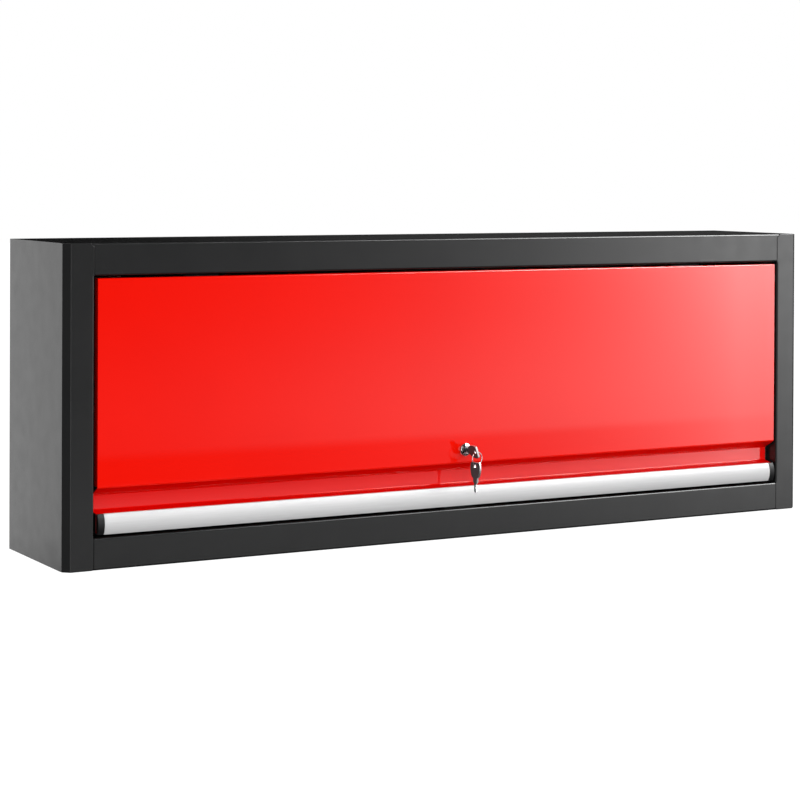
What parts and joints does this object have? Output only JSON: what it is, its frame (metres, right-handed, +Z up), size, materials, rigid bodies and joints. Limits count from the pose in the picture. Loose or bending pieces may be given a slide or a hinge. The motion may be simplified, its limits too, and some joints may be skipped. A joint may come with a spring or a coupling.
{
  "type": "wall cabinet with flap door",
  "caption": "Wide wall cabinet of painted sheet steel with a lift-up flap door, finger recess, aluminium handle strip, gas struts and a cam lock with its keys.",
  "frame": {"origin": "centre of the flat back face that meets the wall", "axes": "+X along the cabinet to the right seen from the front, +Y into the wall, +Z up"},
  "size_m": [1.41, 0.2973, 0.5],
  "materials": {
    "frame_paint": "satin dark grey powder coat",
    "door_paint": "high gloss red enamel",
    "aluminium": "bright satin anodised",
    "chrome": "polished chrome plate",
    "zinc_steel": "bright zinc plate",
    "key_steel": "black nickel plate",
    "ring_steel": "bright nickel plate",
    "black_plastic": "fine matt moulded",
    "black_enamel": "semi-gloss black enamel",
    "rubber": "matt black rubber"
  },
  "bodies": {
    "cabinet": {"back_panel": "frame_paint", "top_panel": "frame_paint", "bottom_panel": "frame_paint", "lock_keeper": "frame_paint", "left_side_sheet": "frame_paint", "hanging_plate_left": "zinc_steel", "door_buffer_left": "rubber", "hinge_bracket_left": "black_enamel", "hinge_pin_left": "zinc_steel", "strut_bracket_left": "zinc_steel", "strut_stud_left": "zinc_steel", "right_side_sheet": "frame_paint", "hanging_plate_right": "zinc_steel", "door_buffer_right": "rubber", "hinge_bracket_right": "black_enamel", "hinge_pin_right": "zinc_steel", "strut_bracket_right": "zinc_steel", "strut_stud_right": "zinc_steel"},
    "door": {"door_skin": "door_paint", "door_stiffener": "door_paint", "handle_strip": "aluminium", "lock_body": "chrome", "lock_nut": "zinc_steel", "handle_cap_left": "black_plastic", "hinge_leaf_left": "zinc_steel", "door_bracket_left": "zinc_steel", "door_stud_left": "zinc_steel", "handle_cap_right": "black_plastic", "hinge_leaf_right": "zinc_steel", "door_bracket_right": "zinc_steel", "door_stud_right": "zinc_steel"},
    "strut_cylinder_left": {"strut_cylinder_socket_left": "black_plastic", "strut_cylinder_left": "black_enamel"},
    "strut_rod_left": {"strut_rod_socket_left": "black_plastic", "strut_rod_left": "chrome"},
    "strut_cylinder_right": {"strut_cylinder_socket_right": "black_plastic", "strut_cylinder_right": "black_enamel"},
    "strut_rod_right": {"strut_rod_socket_right": "black_plastic", "strut_rod_right": "chrome"},
    "lock_plug": {"lock_plug": "chrome", "lock_cam": "zinc_steel", "lock_cam_screw": "zinc_steel"},
    "lock_key": {"key_in_lock": "key_steel"},
    "key_ring": {"key_ring": "ring_steel"},
    "spare_key": {"spare_key": "key_steel"}
  },
  "joints": [
    {"name": "door_swing", "type": "hinge", "parent": "cabinet", "child": "door", "pos_m": [0, -0.242, 0.1835], "axis": [-1, 0, 0], "range_deg": [0, 95]},
    {"name": "strut_tilt_left", "type": "hinge", "parent": "cabinet", "child": "strut_cylinder_left", "pos_m": [-0.6313, -0.05846, 0.13438], "axis": [-1, 0, 0], "range_deg": [0, 48]},
    {"name": "rod_tilt_left", "type": "hinge", "parent": "door", "child": "strut_rod_left", "pos_m": [-0.6313, -0.232, -0.00624], "axis": [-1, 0, 0], "range_deg": [-48, 0]},
    {"name": "strut_tilt_right", "type": "hinge", "parent": "cabinet", "child": "strut_cylinder_right", "pos_m": [0.6313, -0.05846, 0.13438], "axis": [-1, 0, 0], "range_deg": [0, 48]},
    {"name": "rod_tilt_right", "type": "hinge", "parent": "door", "child": "strut_rod_right", "pos_m": [0.6313, -0.232, -0.00624], "axis": [-1, 0, 0], "range_deg": [-48, 0]},
    {"name": "key_turn", "type": "hinge", "parent": "door", "child": "lock_plug", "pos_m": [0, -0.25, -0.1025], "axis": [0, 1, 0], "range_deg": [0, 109]},
    {"name": "key_pull", "type": "slide", "parent": "lock_plug", "child": "lock_key", "axis": [0, -1, 0], "range_m": [0, 0.03]},
    {"name": "ring_swing", "type": "hinge", "parent": "lock_key", "child": "key_ring", "pos_m": [0, -0.286, -0.10355], "axis": [-0.225, 0.9744, 0], "range_deg": [-25, 12]},
    {"name": "spare_key_swing", "type": "hinge", "parent": "key_ring", "child": "spare_key", "pos_m": [0, -0.286, -0.12461], "axis": [0.9744, 0.225, 0], "range_deg": [-50, 25]}
  ],
  "couplings": [
    {"joint": "strut_tilt_left", "follows": "door_swing", "ratio": 0.5},
    {"joint": "rod_tilt_left", "follows": "door_swing", "ratio": -0.5},
    {"joint": "strut_tilt_right", "follows": "door_swing", "ratio": 0.5},
    {"joint": "rod_tilt_right", "follows": "door_swing", "ratio": -0.5}
  ]
}
